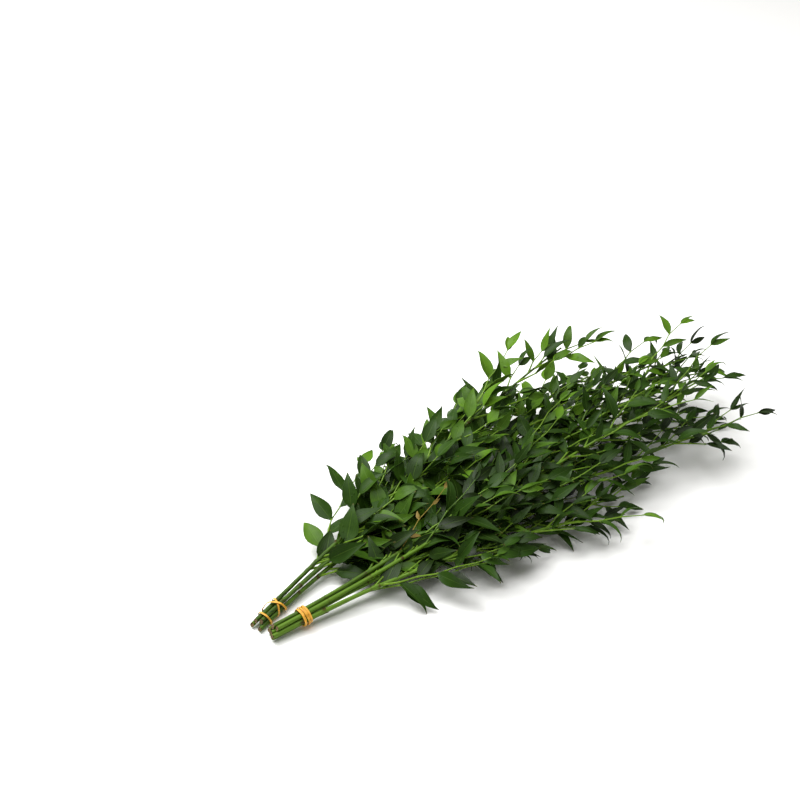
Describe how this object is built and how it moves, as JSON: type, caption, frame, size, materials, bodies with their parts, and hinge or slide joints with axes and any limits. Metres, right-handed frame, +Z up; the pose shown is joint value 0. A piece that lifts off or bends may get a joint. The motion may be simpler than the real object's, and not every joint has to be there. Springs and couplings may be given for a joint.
{
  "type": "butcher's broom bunch",
  "caption": "Florist's bunch of cut butcher's broom lying on its side: two sheaves of leafy green canes fan out from elastic bands near their cut ends.",
  "frame": {"origin": "middle of the footprint, on the surface the bunch lies on", "axes": "+X along the bunch from the cut ends to the leafy tips, +Y to the left seen from the cut ends, +Z up"},
  "size_m": [0.6688, 0.335, 0.1158],
  "materials": {
    "cane_bark": "smooth green bark with brown node scars, satin",
    "leaf": "waxy mid green leaf blades with fine lengthwise veins, half gloss",
    "elastic": "matt yellow elastic"
  },
  "bodies": {
    "root": {"stem_01": "cane_bark", "stem_02": "cane_bark", "stem_03": "cane_bark", "stem_04": "cane_bark", "stem_05": "cane_bark", "stem_06": "cane_bark", "stem_07": "cane_bark", "stem_08": "cane_bark", "stem_09": "cane_bark", "stem_10": "cane_bark", "stem_11": "cane_bark", "stem_12": "cane_bark", "elastic_band_left": "elastic", "elastic_band_right": "elastic", "leafy_shoot_01_1": "leaf", "leafy_shoot_01_2": "leaf", "leafy_shoot_01_3": "leaf", "leafy_shoot_01_4": "leaf", "leafy_shoot_02_1": "leaf", "leafy_shoot_02_2": "leaf", "leafy_shoot_02_3": "leaf", "leafy_shoot_02_4": "leaf", "leafy_shoot_03_1": "leaf", "leafy_shoot_03_2": "leaf", "leafy_shoot_03_3": "leaf", "leafy_shoot_03_4": "leaf", "leafy_shoot_04_1": "leaf", "leafy_shoot_04_2": "leaf", "leafy_shoot_04_3": "leaf", "leafy_shoot_04_4": "leaf", "leafy_shoot_05_1": "leaf", "leafy_shoot_05_2": "leaf", "leafy_shoot_05_3": "leaf", "leafy_shoot_05_4": "leaf", "leafy_shoot_06_1": "leaf", "leafy_shoot_06_2": "leaf", "leafy_shoot_06_3": "leaf", "leafy_shoot_06_4": "leaf", "leafy_shoot_07_1": "leaf", "leafy_shoot_07_2": "leaf", "leafy_shoot_07_3": "leaf", "leafy_shoot_07_4": "leaf", "leafy_shoot_08_1": "leaf", "leafy_shoot_08_2": "leaf", "leafy_shoot_08_3": "leaf", "leafy_shoot_09_1": "leaf", "leafy_shoot_09_2": "leaf", "leafy_shoot_09_3": "leaf", "leafy_shoot_09_4": "leaf", "leafy_shoot_10_1": "leaf", "leafy_shoot_10_2": "leaf", "leafy_shoot_10_3": "leaf", "leafy_shoot_10_4": "leaf", "leafy_shoot_11_1": "leaf", "leafy_shoot_11_2": "leaf", "leafy_shoot_11_3": "leaf", "leafy_shoot_12_1": "leaf", "leafy_shoot_12_2": "leaf", "leafy_shoot_12_3": "leaf", "leafy_shoot_12_4": "leaf"}
  },
  "joints": []
}
